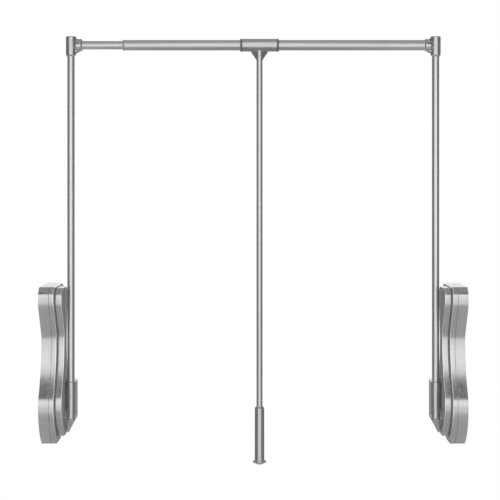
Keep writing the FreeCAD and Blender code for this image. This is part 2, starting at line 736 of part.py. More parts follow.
# outline of the web between sleeve and boss, from the arm's axis: distance and height
CORNER_WEB = [(8.0, 16.4), (12.0, 12.9), (19.0, 11.6), (19.0, -12.2), (9.0, -17.0), (5.0, -19.6)]
WEB_THICKNESS = 8.0
WEB_SLOPE = 40           # degrees that the web's edges lean in, from the middle plane outward
ARM_END = -6.0           # upper end of the arm tube, from the hanging rod's axis
ARM_SCREW_DROP = 13.2
ROD_SCREW_REACH = 15.5


def arm_bracket():
    """Cast bracket on the square shaft end: rounded front over the arm, chin tapered off below."""
    body = new_body("right_arm_bracket", (0, 0, PIVOT_Z))
    near = -size.bracket_inset - 0.4
    far = -size.arm_inset - size.bracket_half
    back = size.bracket_back
    back_round = 3.0
    soft = back_round * (1 - math.sqrt(0.5))
    round_turn = math.radians(37)
    round_end = (ARM_X + size.bracket_half * math.sin(round_turn),
                 -size.bracket_half * math.cos(round_turn))
    flank_end = round_end[1] + (near - round_end[0]) * math.tan(round_turn)
    foot = -40.4
    top = size.bracket_top_up - size.pivot_up
    plan = path(
        (near, back - back_round), ((near - soft, back - soft), (near - back_round, back)),
        (far + back_round, back), ((far + soft, back - soft), (far, back - back_round)),
        (far, 0), ((ARM_X, -size.bracket_half), round_end), (near, flank_end))
    tall = pad(body, sketch(body, "XY_Plane", plan, foot), f"bracket_top_up - pivot_up - {foot}")
    dress(body, "Chamfer", 1.0, flat_at("Z", top))
    chin_slope = 1.9
    side_edge = -5.5
    drop = side_edge - foot + 1
    side_facet = path((far - 1, side_edge + chin_slope), (far + drop / chin_slope, foot - 1),
                      (far - 1, foot - 1))
    pocket(body, sketch(body, "XZ_Plane", side_facet), THROUGH, midplane=True)
    front_edge = -3.0
    front = -size.bracket_half
    front_drop = front_edge - foot + 1
    front_facet = path((front - 1, front_edge + chin_slope),
                       (front + front_drop / chin_slope, foot - 1), (front - 1, foot - 1))
    rear_edge = 4.0
    rear_drop = rear_edge - foot + 1
    rear_facet = path((back + 1, rear_edge + chin_slope),
                      (back - rear_drop / chin_slope, foot - 1), (back + 1, foot - 1))
    pocket(body, sketch(body, "YZ_Plane", front_facet), THROUGH)
    pocket(body, sketch(body, "YZ_Plane", rear_facet), THROUGH)
    hub = [circle((0, 0), HUB_DISC)]
    pad(body, sketch(body, "YZ_Plane", hub, -size.bracket_inset), "2", reverse=True)
    socket = [circle((ARM_X, 0), size.arm_diameter)]
    socket_depth = f"bracket_top_up - {ARM_SOCKET_UP}"
    pocket(body, sketch(body, "XY_Plane", socket, top), socket_depth)
    half = size.shaft_square / 2
    square = path((-half, -half), (half, -half), (half, half), (-half, half))
    pocket(body, sketch(body, "YZ_Plane", square, -size.bracket_inset), f"{SQUARE_LENGTH}")
    pocket(body, sketch(body, "YZ_Plane", [circle((0, 0), HUB_SCREW)], -size.bracket_inset), THROUGH)
    pocket(body, sketch(body, "YZ_Plane", [circle((0, 0), HUB_HEAD)], -HUB_SEAT), THROUGH)
    screws = [circle((ARM_X, up - size.pivot_up), SET_SCREW) for up in BRACKET_SCREW_UPS]
    pocket(body, sketch(body, "XZ_Plane", screws), "bracket_back + 2")


def hex_key(radius, depth, start, axis):
    """Hexagonal recess for a key."""
    key = doc.addObject("Part::Prism", "hex_key")
    key.Polygon = 6
    key.Circumradius = radius
    key.Height = depth
    key.Placement = Placement(Vector(*start), TURN[axis])
    return key


def hub_screw():
    """Socket head screw that holds the bracket on the shaft."""
    head_tall = 3.5
    head_start = (-HUB_SEAT - head_tall, 0, PIVOT_Z)
    head = bar(f"{HUB_HEAD} - 0.4", f"{head_tall}", head_start, "X")
    shank = bar(f"{HUB_SCREW}", f"{HUB_SCREW_LENGTH}", (-HUB_SEAT, 0, PIVOT_Z), "X")
    keep("right_hub_screw", cut(fused([head, shank]), [hex_key(2.3, 2.2, head_start, "X")]))


def arm():
    """Arm tube from the bracket's socket to the corner joint."""
    start = (ARM_X, 0, height(ARM_SOCKET_UP))
    length = f"rod_up - {-ARM_END} - {ARM_SOCKET_UP}"
    keep("right_arm", tube("arm_diameter", "arm_diameter - 2 * arm_wall", length, start, "Z"))


def corner(label, arm_x, toward, rod_diameter):
    """Corner joint: upright sleeve on the arm and a boss with webs round the hanging rod's end.

    toward is -1 on the right and +1 on the left, the way to the middle of the closet.
    """
    body = new_body(label, (arm_x, 0, ROD_Z))
    upright = path((0, CORNER_FOOT), (7.6, CORNER_FOOT), ((9.2, -20), (10, -16.5)),
                   (10, CORNER_TOP - 1.4), ((9.6, CORNER_TOP - 0.4), (8.6, CORNER_TOP)),
                   (0, CORNER_TOP))
    revolve(body, sketch(body, "XZ_Plane", upright), "V_Axis")
    web = path(*[(toward * reach, up) for reach, up in CORNER_WEB])
    for back in (False, True):
        half = pad(body, sketch(body, "XZ_Plane", web), f"{WEB_THICKNESS / 2}", reverse=back)
        half.TaperAngle = -WEB_SLOPE
    mouth = size.corner_reach
    steps = [(0, 7.0), (7.0, 9.2), (11.0, 11.4), (CORNER_RING, 12.0), (CORNER_RING + 0.4, 12.6),
             (mouth - 3.0, 12.6), (mouth - 2.0, 12.3), (mouth - 0.6, 11.3), (mouth, 10.8),
             (mouth, 0)]
    boss = path((0, 0), *[(toward * reach, radius) for reach, radius in steps])
    revolve(body, sketch(body, "XZ_Plane", boss), "H_Axis")
    outward = toward < 0
    rod_hole = [circle((0, 0), rod_diameter)]
    pocket(body, sketch(body, "YZ_Plane", rod_hole, toward * mouth), "corner_bore_depth",
           reverse=outward)
    arm_hole = [circle((0, 0), size.arm_diameter)]
    arm_depth = f"{ARM_END - CORNER_FOOT}"
    pocket(body, sketch(body, "XY_Plane", arm_hole, CORNER_FOOT), arm_depth, reverse=True)
    screws = [circle((0, -ARM_SCREW_DROP), SET_SCREW),
              circle((toward * ROD_SCREW_REACH, 0), SET_SCREW)]
    pocket(body, sketch(body, "XZ_Plane", screws), THROUGH)


def set_screws(label, arm_x, toward, rod_diameter):
    """Four set screws: two in the bracket, one on the arm and one on the rod in the corner."""
    arm_face = size.arm_diameter / 2
    seats = [(arm_x, arm_face, height(up)) for up in BRACKET_SCREW_UPS]
    seats.append((arm_x, arm_face, ROD_Z - ARM_SCREW_DROP))
    seats.append((arm_x + toward * ROD_SCREW_REACH, rod_diameter / 2, ROD_Z))
    screws = []
    key_depth = 1.6
    for x, y, z in seats:
        key = hex_key(1.15, key_depth, (x, y + SET_SCREW_LENGTH - key_depth, z), "Y")
        screws.append(cut(bar(f"{SET_SCREW}", f"{SET_SCREW_LENGTH}", (x, y, z), "Y"), [key]))
    keep(label, group(screws))


# ---------------------------------------------------------------- hanging rod

LEFT_ARM_X = size.arm_inset - size.overall_width
ROD_END_INSET = size.arm_inset + size.corner_reach - size.corner_bore_depth
OUTER_RIGHT_X = -ROD_END_INSET
OUTER_LEFT_X = OUTER_RIGHT_X - size.outer_tube_length
INNER_LEFT_X = ROD_END_INSET - size.overall_width
INNER_RIGHT_X = INNER_LEFT_X + size.inner_tube_length
OUTER_BORE = "outer_tube_diameter - 2 * hanging_wall"


def hanging_rod():
    """Outer and inner tubes, the ring at the outer tube's mouth and the inner tube's glide."""
    outer_start = (OUTER_LEFT_X, 0, ROD_Z)
    keep("outer_tube", tube("outer_tube_diameter", OUTER_BORE, "outer_tube_length",
                            outer_start, "X"))
    inner_start = (INNER_LEFT_X, 0, ROD_Z)
    inner_bore = "inner_tube_diameter - 2 * hanging_wall"
    keep("inner_tube", tube("inner_tube_diameter", inner_bore, "inner_tube_length",
                            inner_start, "X"))
    ring = new_body("tube_mouth_ring", (OUTER_LEFT_X, 0, ROD_Z))
    bore = size.inner_tube_diameter / 2 + size.running_gap
    flange = size.outer_tube_diameter / 2 + 0.4
    spigot = size.outer_tube_diameter / 2 - size.hanging_wall
    front = -size.mouth_ring_length
    soft = 1.3
    profile = path(
        (front, bore), (front, flange - soft),
        ((front + soft * 0.3, flange - soft * 0.3), (front + soft, flange)),
        (-soft * 0.6, flange), (0, flange - soft * 0.6), (0, spigot), (18, spigot), (18, bore))
    revolve(ring, sketch(ring, "XZ_Plane", profile), "H_Axis")
    glide_start = (INNER_RIGHT_X - size.glide_length, 0, ROD_Z)
    glide = tube(OUTER_BORE + " - 2 * running_gap", "inner_tube_diameter", "glide_length",
                 glide_start, "X")
    keep("inner_tube_glide", glide)


# ---------------------------------------------------------------- pull sleeve, rod and grip

SLEEVE_X = MIDDLE_X + size.sleeve_offset
SLEEVE_BORE = size.sleeve_diameter - 2 * size.sleeve_wall
SLEEVE_GAP = 0.1         # between the sleeve and each end ring
BUSH_SPIGOT = 18.0
# drop below the rod's axis, half width and back of the gusset, which has its ridge in front
GUSSET = [(9.0, 19.6, 7.0), (size.socket_depth - 0.5, 6.0, 2.4)]
GUSSET_FRONT = -5.6
ROD_PIN = 3.0
ROD_PIN_DROP = 22.0
PULL_ROD_TOP = size.rod_up - 12.8
PULL_ROD_FOOT_UP = -24.5
EAR_THICKNESS = 8.0
EAR_TIP_THICKNESS = 1.8


def sleeve_bushes():
    """Two nylon bushes that slide on the outer tube and carry the turning sleeve."""
    half = size.sleeve_length / 2
    bore = "outer_tube_diameter + 2 * running_gap"
    rings = []
    for side in (-1, 1):
        outer_end = SLEEVE_X + side * half
        flange_start = min(outer_end, outer_end - side * size.sleeve_ring)
        flange = bar("sleeve_diameter", "sleeve_ring", (flange_start, 0, ROD_Z), "X")
        rounded = doc.addObject("Part::Chamfer", "sleeve_ring_edge")
        rounded.Base = flange
        rounded.Edges = [(1, 0.9, 0.9), (3, 0.9, 0.9)]
        inner_end = outer_end - side * (size.sleeve_ring + BUSH_SPIGOT)
        spigot_start = min(outer_end - side * size.sleeve_ring, inner_end)
        skirt = bar("sleeve_diameter - 2 * sleeve_wall - 2 * running_gap", f"{BUSH_SPIGOT}",
                    (spigot_start, 0, ROD_Z), "X")
        hole_start = (min(outer_end, inner_end), 0, ROD_Z)
        hole = bar(bore, f"sleeve_ring + {BUSH_SPIGOT}", hole_start, "X")
        rings.append(cut(fused([rounded, skirt]), [hole]))
    keep("sleeve_bushes", group(rings))


def pull_sleeve():
    """Sleeve that turns on the bushes, with a socket and its gusset for the pull rod below it."""
    body = new_body("pull_sleeve", (SLEEVE_X, 0, ROD_Z))
    half = size.sleeve_length / 2 - size.sleeve_ring - SLEEVE_GAP
    barrel = [circle((0, 0), size.sleeve_diameter)]
    length = f"sleeve_length - 2 * sleeve_ring - {2 * SLEEVE_GAP}"
    pad(body, sketch(body, "YZ_Plane", barrel, -half), length)
    foot = -size.socket_depth
    gusset = [sketch(body, "XY_Plane", path((-half_width, back), (0, GUSSET_FRONT),
                                            (half_width, back)), -drop)
              for drop, half_width, back in GUSSET]
    loft(body, gusset)
    socket = [circle((0, 0), size.socket_diameter)]
    pad(body, sketch(body, "XY_Plane", socket, foot), "socket_depth")
    bore = [circle((0, 0), SLEEVE_BORE)]
    pocket(body, sketch(body, "YZ_Plane", bore), THROUGH, midplane=True)
    rod_hole = [circle((0, 0), size.pull_rod_diameter)]
    hole_depth = f"socket_depth - {size.rod_up - PULL_ROD_TOP}"
    pocket(body, sketch(body, "XY_Plane", rod_hole, foot), hole_depth, reverse=True)
    pin_hole = [circle((0, -ROD_PIN_DROP), ROD_PIN)]
    pocket(body, sketch(body, "XZ_Plane", pin_hole), THROUGH, midplane=True)


def pull_rod():
    """Pull rod tube with the cross pin that holds it in the sleeve's socket."""
    start = (SLEEVE_X, 0, height(PULL_ROD_FOOT_UP))
    length = f"{PULL_ROD_TOP - PULL_ROD_FOOT_UP}"
    stick = tube("pull_rod_diameter", "pull_rod_diameter - 2 * pull_rod_wall", length, start, "Z")
    pin_z = ROD_Z - ROD_PIN_DROP
    pin_half = 7.0
    drill = bar(f"{ROD_PIN}", THROUGH, (SLEEVE_X, -float(THROUGH) / 2, pin_z), "Y")
    keep("pull_rod", cut(stick, [drill]))
    keep("rod_pin", bar(f"{ROD_PIN}", f"{2 * pin_half}", (SLEEVE_X, -pin_half, pin_z), "Y"))


def grip():
    """Grip on the lower end of the pull rod, and its end cap with two side ears."""
    body = new_body("grip", (SLEEVE_X, 0, height(size.grip_bottom_up)))
    tall = size.grip_top_up - size.grip_bottom_up
    low = size.grip_bottom_diameter / 2
    rod = size.pull_rod_diameter / 2
    depth = PULL_ROD_FOOT_UP - size.grip_bottom_up
    profile = path((rod - 1.2, 0), (low, 0), (low - 0.2, tall - 2.6), (rod + 1.0, tall), (rod, tall),
                   (rod, depth), (rod - 1.2, depth))
    revolve(body, sketch(body, "XZ_Plane", profile), "V_Axis")
    cap = new_body("grip_cap", (SLEEVE_X, 0, height(size.grip_bottom_up)))
    under = -size.cap_height
    plug = rod - size.pull_rod_wall
    plug_tall = 22.0
    cap_profile = path(
        (0, under), (low - 3.4, under), ((low - 1.4, under + 0.8), (low - 0.5, under + 2.6)),
        (low - 0.2, 0), (plug, 0), (plug, plug_tall), (plug - 1, plug_tall + 1), (0, plug_tall + 1))
    revolve(cap, sketch(cap, "XZ_Plane", cap_profile), "V_Axis")
    tip = size.cap_width / 2
    tip_drop = -4.6
    ears = path(
        (0, -0.2), (low - 0.3, -0.2), (low + 0.4, -0.8), (tip - 0.4, tip_drop + 0.5),
        (tip, tip_drop), (tip - 0.4, tip_drop - 0.5), (low - 1.3, under + 1.1), (0, under + 1.1),
        (1.3 - low, under + 1.1), (0.4 - tip, tip_drop - 0.5), (-tip, tip_drop),
        (0.4 - tip, tip_drop + 0.5), (-low - 0.4, -0.8), (0.3 - low, -0.2))
    pad(cap, sketch(cap, "XZ_Plane", ears), f"{EAR_THICKNESS}", midplane=True)
    root = (low - 0.9, EAR_THICKNESS / 2 + 0.1)
    edge = (tip + 1, EAR_TIP_THICKNESS / 2)
    beyond = EAR_THICKNESS / 2 + 1
    trims = [path((side * root[0], face * root[1]), (side * edge[0], face * edge[1]),
                  (side * edge[0], face * beyond), (side * root[0], face * beyond))
             for side in (-1, 1) for face in (-1, 1)]
    pocket(cap, sketch(cap, "XY_Plane", [line for trim in trims for line in trim]), THROUGH)


# ---------------------------------------------------------------- assembly

wall_plate()
casing_back()
casing_front()
cover()
casing_screws()
bushes()
pivot_shaft()
pinion()
rack()
rack_supports()
lift_spring()
anchor_block()
damper()
arm_bracket()
hub_screw()
arm()
for right_label in list(pieces):
    mirrored(right_label.replace("right_", "left_"), pieces[right_label])
corner("right_corner", ARM_X, -1, size.outer_tube_diameter)
corner("left_corner", LEFT_ARM_X, 1, size.inner_tube_diameter)
set_screws("right_set_screws", ARM_X, -1, size.outer_tube_diameter)
set_screws("left_set_screws", LEFT_ARM_X, 1, size.inner_tube_diameter)
hanging_rod()
sleeve_bushes()
pull_sleeve()
pull_rod()
grip()
doc.recompute()

# ---------------------------------------------------------------- checks and export

for item in doc.Objects:
    if "Invalid" in item.State or "Error" in item.State:
        raise RuntimeError(f"{item.Name} ({item.Label}) failed: {item.State}")
os.makedirs("parts", exist_ok=True)
for label, piece in pieces.items():
    shape = piece.Shape
    if shape.isNull() or not shape.isValid() or not shape.Solids:
        raise RuntimeError(f"{label} has no valid solid")
    shape.exportStep(f"parts/{label}.step")
    print(f"{label}: {len(shape.Solids)} solid(s), {shape.Volume / 1000:.2f} cm3")
print(f"{len(pieces)} pieces")
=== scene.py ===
"""A pull down closet rod: two sprung wall housings, two arms, a telescoping rod and a pull rod.

Everything is in metres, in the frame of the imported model: +Z up, +Y to the closet's back,
X=0 on the right side wall and the origin at the right housing's four wall screws.
"""

import math

import bmesh
import bpy
from mathutils import Matrix, Vector


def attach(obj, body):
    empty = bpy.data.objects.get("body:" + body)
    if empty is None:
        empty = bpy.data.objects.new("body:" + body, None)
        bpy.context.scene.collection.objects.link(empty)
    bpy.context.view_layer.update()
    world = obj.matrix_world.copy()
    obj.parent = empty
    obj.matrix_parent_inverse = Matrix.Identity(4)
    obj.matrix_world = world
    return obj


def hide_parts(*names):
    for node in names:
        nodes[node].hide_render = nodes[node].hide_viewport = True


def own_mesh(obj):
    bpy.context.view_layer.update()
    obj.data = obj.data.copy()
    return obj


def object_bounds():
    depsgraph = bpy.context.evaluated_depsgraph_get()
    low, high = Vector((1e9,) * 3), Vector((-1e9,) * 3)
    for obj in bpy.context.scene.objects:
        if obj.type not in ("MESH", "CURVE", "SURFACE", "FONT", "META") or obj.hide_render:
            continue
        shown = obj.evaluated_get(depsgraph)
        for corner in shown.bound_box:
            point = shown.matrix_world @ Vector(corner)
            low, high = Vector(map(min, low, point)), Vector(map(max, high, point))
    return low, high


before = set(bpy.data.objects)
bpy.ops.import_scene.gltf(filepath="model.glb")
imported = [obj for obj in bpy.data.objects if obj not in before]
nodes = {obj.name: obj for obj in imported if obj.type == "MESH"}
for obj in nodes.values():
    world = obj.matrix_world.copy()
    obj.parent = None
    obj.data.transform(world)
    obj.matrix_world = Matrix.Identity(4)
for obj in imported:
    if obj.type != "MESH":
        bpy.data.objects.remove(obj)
cad_low, cad_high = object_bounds()

MM = 0.001
MIDDLE_X = (cad_low.x + cad_high.x) / 2


# ---------------------------------------------------------------- shader helpers

def new_material(name):
    """A material with an empty principled shader; returns it with its tree and its shader."""
    material = bpy.data.materials.new(name)
    material.use_nodes = True
    tree = material.node_tree
    tree.nodes.clear()
    output = tree.nodes.new("ShaderNodeOutputMaterial")
    shader = tree.nodes.new("ShaderNodeBsdfPrincipled")
    tree.links.new(shader.outputs["BSDF"], output.inputs["Surface"])
    return material, tree, shader


def noise(tree, scale, detail=3.0, rough=0.5):
    """Noise on the piece's own coordinates, with one scale per axis in patches a metre."""
    place = tree.nodes.new("ShaderNodeTexCoord")
    stretch = tree.nodes.new("ShaderNodeMapping")
    stretch.inputs["Scale"].default_value = scale
    texture = tree.nodes.new("ShaderNodeTexNoise")
    texture.inputs["Scale"].default_value = 1.0
    texture.inputs["Detail"].default_value = detail
    texture.inputs["Roughness"].default_value = rough
    tree.links.new(place.outputs["Object"], stretch.inputs["Vector"])
    tree.links.new(stretch.outputs["Vector"], texture.inputs["Vector"])
    return texture.outputs["Fac"]


def spread(tree, value, low, high, start=0.3, end=0.7):
    """The value, which runs from start to end, spread over low to high."""
    mapped = tree.nodes.new("ShaderNodeMapRange")
    mapped.inputs["From Min"].default_value = start
    mapped.inputs["From Max"].default_value = end
    mapped.inputs["To Min"].default_value = low
    mapped.inputs["To Max"].default_value = high
    tree.links.new(value, mapped.inputs["Value"])
    return mapped.outputs["Result"]


def blend_colours(tree, share, first, second):
    """A colour between two, given as linear red, green and blue."""
    ramp = tree.nodes.new("ShaderNodeValToRGB")
    ramp.color_ramp.elements[0].color = (*first, 1)
    ramp.color_ramp.elements[1].color = (*second, 1)
    tree.links.new(share, ramp.inputs["Fac"])
    return ramp.outputs["Color"]


def relief(tree, height, depth, strength=0.5, under=None):
    """A bump of that depth in metres, over another bump if there is one."""
    bump = tree.nodes.new("ShaderNodeBump")
    bump.inputs["Strength"].default_value = strength
    bump.inputs["Distance"].default_value = depth
    tree.links.new(height, bump.inputs["Height"])
    if under is not None:
        tree.links.new(under, bump.inputs["Normal"])
    return bump.outputs["Normal"]


def added(tree, first, second):
    """The sum of two values."""
    add = tree.nodes.new("ShaderNodeMath")
    add.operation = "ADD"
    tree.links.new(first, add.inputs[0])
    tree.links.new(second, add.inputs[1])
    return add.outputs["Value"]


# how far an edge's surface faces sideways, and the share of painted highlight there: raised base colour
# along the rounded side fillets
EDGE_HIGHLIGHT_SHARES = ((0.04, 0), (0.16, 1), (0.62, 1), (0.68, 0))
# how squarely a face lies across an axis where its own roughness begins, and where it is full
FLAT_FROM, FLAT_FULL = 0.96, 0.998


def facing(tree, axis):
    """How far the surface faces along an axis, either way: 1 on the flat faces across it."""
    place = tree.nodes.new("ShaderNodeTexCoord")
    parts = tree.nodes.new("ShaderNodeSeparateXYZ")
    size = tree.nodes.new("ShaderNodeMath")
    size.operation = "ABSOLUTE"
    tree.links.new(place.outputs["Normal"], parts.inputs["Vector"])
    tree.links.new(parts.outputs[axis], size.inputs[0])
    return size.outputs["Value"]


def on_flat_faces(tree, axis, amount):
    """That amount on the flat faces across an axis, and nothing on the others."""
    return spread(tree, facing(tree, axis), 0, amount, FLAT_FROM, FLAT_FULL)


def painted_edge_highlights(tree, shade, level):
    """The shade with its base colour raised to that level on the rounded side-face fillets, as a painted
    highlight.

    The chamfers of the seam between two shells lean further than that and stay plain.
    """
    ramp = tree.nodes.new("ShaderNodeValToRGB")
    stops = ramp.color_ramp.elements
    stops.remove(stops[1])
    stops[0].color = (0, 0, 0, 1)
    for lean, share in EDGE_HIGHLIGHT_SHARES:
        stops.new(lean).color = (share, share, share, 1)
    tree.links.new(facing(tree, "X"), ramp.inputs["Fac"])
    mix = tree.nodes.new("ShaderNodeMix")
    mix.data_type = "RGBA"
    tree.links.new(ramp.outputs["Color"], mix.inputs[0])
    tree.links.new(shade, mix.inputs[6])
    mix.inputs[7].default_value = (level, level, level, 1)
    return mix.outputs[2]


def grey(level, tint=(1.0, 1.0, 1.0)):
    return tuple(level * part for part in tint)


# ---------------------------------------------------------------- finishes

COOL = (0.985, 1.0, 0.995)
ALONG = {"X": 0, "Y": 1, "Z": 2}


def satin_metal(name, level, roughness, along, streak=2200.0, stretch=0.012, contrast=0.06,
                depth=0.004 * MM, tint=COOL, faces=(), edge_highlight_level=0.0):
    """A satin metal with fine scratches along one axis, as brushing or drawing leaves them."""
    material, tree, shader = new_material(name)
    scale = [streak] * 3
    scale[ALONG[along]] = streak * stretch
    scratches = noise(tree, scale, detail=4.0, rough=0.6)
    broad = [140.0] * 3
    broad[ALONG[along]] = 2.5
    bands = noise(tree, broad, detail=2.0)
    smudges = noise(tree, [22.0] * 3, detail=3.0)
    shade = blend_colours(tree, spread(tree, scratches, 0, 1), grey(level * (1 - contrast), tint),
                          grey(level * (1 + contrast), tint))
    rough_scratch = spread(tree, scratches, -0.04, 0.04)
    rough_band = spread(tree, bands, roughness - 0.03, roughness + 0.03)
    rough_smudge = spread(tree, smudges, -0.02, 0.02)
    total = added(tree, added(tree, rough_band, rough_scratch), rough_smudge)
    for axis, amount in faces:
        total = added(tree, total, on_flat_faces(tree, axis, amount))
    # painted highlight: the base colour is raised along the rounded side fillets
    if edge_highlight_level:
        shade = painted_edge_highlights(tree, shade, edge_highlight_level)
    shader.inputs["Metallic"].default_value = 1.0
    tree.links.new(shade, shader.inputs["Base Color"])
    tree.links.new(total, shader.inputs["Roughness"])
    tree.links.new(relief(tree, scratches, depth), shader.inputs["Normal"])
    return material


def cast_metal(name, level, roughness, tint=COOL, faces=()):
    """A die casting, blasted fine and plated satin."""
    material, tree, shader = new_material(name)
    grain = noise(tree, [1800.0] * 3, detail=3.0)
    patches = noise(tree, [60.0] * 3, detail=3.0)
    shade = blend_colours(tree, spread(tree, patches, 0, 1), grey(level * 0.95, tint),
                          grey(level * 1.04, tint))
    shader.inputs["Metallic"].default_value = 1.0
    tree.links.new(shade, shader.inputs["Base Color"])
    total = spread(tree, patches, roughness - 0.03, roughness + 0.04)
    for axis, amount in faces:
        total = added(tree, total, on_flat_faces(tree, axis, amount))
    tree.links.new(total, shader.inputs["Roughness"])
    tree.links.new(relief(tree, grain, 0.012 * MM, 0.4), shader.inputs["Normal"])
    return material


def turned_metal(name, level, roughness, tint=COOL, rings=3000.0):
    """Turned or machined metal with fine even tool marks."""
    material, tree, shader = new_material(name)
    marks = noise(tree, [rings] * 3, detail=2.0)
    shade = blend_colours(tree, spread(tree, marks, 0, 1), grey(level * 0.92, tint),
                          grey(level * 1.06, tint))
    shader.inputs["Metallic"].default_value = 1.0
    tree.links.new(shade, shader.inputs["Base Color"])
    tree.links.new(spread(tree, marks, roughness - 0.05, roughness + 0.05),
                   shader.inputs["Roughness"])
    tree.links.new(relief(tree, marks, 0.01 * MM, 0.3), shader.inputs["Normal"])
    return material


def moulded_plastic(name, level, roughness, tint=(1.0, 1.0, 1.0), grain_depth=0.02 * MM):
    """Moulded nylon or rubber with a fine spark-eroded grain."""
    material, tree, shader = new_material(name)
    grain = noise(tree, [1500.0] * 3, detail=3.0)
    patches = noise(tree, [90.0] * 3, detail=2.0)
    shade = blend_colours(tree, spread(tree, patches, 0, 1), grey(level * 0.88, tint),
                          grey(level * 1.12, tint))
    tree.links.new(shade, shader.inputs["Base Color"])
    tree.links.new(spread(tree, patches, roughness - 0.04, roughness + 0.06),
                   shader.inputs["Roughness"])
    tree.links.new(relief(tree, grain, grain_depth, 0.5), shader.inputs["Normal"])
    return material


# ---------------------------------------------------------------- which piece has which finish

# the housing's rounded side fillets get a painted highlight, with the base colour raised to 0.95
housing = satin_metal("brushed_housing", 0.54, 0.25, "Z", faces=(("X", 0.45), ("Z", -0.1)),
                      edge_highlight_level=0.95)
casting = cast_metal("satin_casting", 0.60, 0.27, faces=(("X", 0.4),))
upright_tube = satin_metal("drawn_tube_upright", 0.68, 0.29, "Z", streak=2600.0, contrast=0.03)
level_tube = satin_metal("drawn_tube_level", 0.66, 0.38, "X", streak=2600.0, contrast=0.03)
zinc = turned_metal("zinc_plate", 0.62, 0.38, tint=(0.97, 0.99, 1.0), rings=700.0)
steel = turned_metal("turned_steel", 0.55, 0.3)
gear_steel = turned_metal("oiled_gear_steel", 0.42, 0.26, rings=1200.0)
spring_wire = turned_metal("spring_wire", 0.30, 0.32)
damper_metal = satin_metal("turned_damper", 0.62, 0.28, "X", contrast=0.04)
bronze = turned_metal("sintered_bronze", 1.0, 0.45, tint=(0.62, 0.42, 0.22))
nylon = moulded_plastic("dark_nylon", 0.045, 0.42)
grey_nylon = moulded_plastic("grey_nylon", 0.14, 0.40)
pale_nylon = moulded_plastic("pale_nylon", 0.36, 0.40)
rubber = moulded_plastic("black_rubber", 0.02, 0.6)
grip_finish = cast_metal("satin_grip", 0.60, 0.23, tint=(1.0, 0.995, 0.98))

FINISH = {
    "wall_plate": zinc, "casing_back": housing, "casing_front": housing, "cover": housing,
    "casing_screws": steel, "plate_bush": bronze, "cover_bush": nylon, "pivot_shaft": steel,
    "pinion": gear_steel, "pinion_clip": spring_wire, "rack": gear_steel, "rack_guide": nylon,
    "stop_pad": rubber, "lift_spring": spring_wire, "spring_rod": steel, "anchor_block": zinc,
    "damper_gland": nylon, "damper_body": damper_metal, "damper_rod": steel,
    "arm_bracket": casting, "hub_screw": steel, "arm": upright_tube, "corner": casting,
    "set_screws": steel,
    "outer_tube": level_tube, "inner_tube": level_tube, "tube_mouth_ring": pale_nylon,
    "inner_tube_glide": nylon, "sleeve_bushes": grey_nylon, "pull_sleeve": casting,
    "pull_rod": upright_tube, "rod_pin": steel, "grip": grip_finish, "grip_cap": grip_finish,
}

for name, piece in nodes.items():
    kind = name.split("_", 1)[1] if name.startswith(("right_", "left_")) else name
    piece.data.materials.clear()
    piece.data.materials.append(FINISH[kind])


# ---------------------------------------------------------------- lift springs

SEAM = 0.001 * MM        # points closer than this are one


def add_spring_coil(side):
    """The lift spring as a smooth-shaded copy of its CAD coil that rides on its side, in place of the
    CAD piece.
    """
    name = f"{side}_lift_spring"
    work = bmesh.new()
    work.from_mesh(nodes[name].data)
    bmesh.ops.remove_doubles(work, verts=work.verts, dist=SEAM)
    for face in work.faces:
        face.smooth = True
    mesh = bpy.data.meshes.new(f"{side}_spring_coil")
    work.to_mesh(mesh)
    work.free()
    mesh.materials.append(spring_wire)
    coil = bpy.data.objects.new(f"{side}_spring_coil", mesh)
    bpy.context.scene.collection.objects.link(coil)
    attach(coil, f"{side}_side")
    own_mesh(coil)
    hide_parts(name)


for side in ("right", "left"):
    add_spring_coil(side)


# ---------------------------------------------------------------- studio

CAMERA_DISTANCE = 2.150
CAMERA_HEIGHT = 0.3722
LENS = 78.19
SENSOR = 36.0
SHIFT = (-0.0066, -0.15)
FLOOR_Z = -1.35
FLOOR_RADIUS = 2.3
SOFTBOX_Y = -2.2
WINDOW = 1.36            # half width of the clear white patch behind the object
BACK_Y = 3.5


def add_camera():
    data = bpy.data.cameras.new("camera")
    data.lens = LENS
    data.sensor_width = SENSOR
    data.shift_x, data.shift_y = SHIFT
    camera = bpy.data.objects.new("camera", data)
    camera.location = (MIDDLE_X, -CAMERA_DISTANCE, CAMERA_HEIGHT)
    camera.rotation_euler = (math.radians(90), 0, 0)
    bpy.context.scene.collection.objects.link(camera)
    bpy.context.scene.camera = camera


def add_softbox(name, across, low, high, width, level):
    """An upright softbox in front of the object, that far from its middle, facing the closet."""
    data = bpy.data.lights.new(name, "AREA")
    data.shape = "RECTANGLE"
    data.size = width
    data.size_y = high - low
    data.energy = 4 * level * width * (high - low)
    lamp = bpy.data.objects.new(name, data)
    lamp.location = (MIDDLE_X + across, SOFTBOX_Y, (low + high) / 2)
    lamp.rotation_euler = (math.radians(90), 0, 0)
    lamp.visible_camera = False
    bpy.context.scene.collection.objects.link(lamp)


def add_card(name, centre, across, up, level):
    """A flat grey card that metal mirrors and nothing else sees: across and up are its half sides."""
    mesh = bpy.data.meshes.new(name)
    work = bmesh.new()
    corners = [work.verts.new(Vector(centre) + Vector(across) * u + Vector(up) * v)
               for u, v in ((-1, -1), (1, -1), (1, 1), (-1, 1))]
    work.faces.new(corners)
    work.to_mesh(mesh)
    work.free()
    card = bpy.data.objects.new(name, mesh)
    bpy.context.scene.collection.objects.link(card)
    material = bpy.data.materials.new(name)
    material.use_nodes = True
    tree = material.node_tree
    tree.nodes.clear()
    glow = tree.nodes.new("ShaderNodeEmission")
    glow.inputs["Color"].default_value = (level, level, level, 1)
    output = tree.nodes.new("ShaderNodeOutputMaterial")
    tree.links.new(glow.outputs["Emission"], output.inputs["Surface"])
    mesh.materials.append(material)
    card.visible_camera = False
    card.visible_diffuse = False
    card.visible_shadow = False
    card.visible_transmission = False


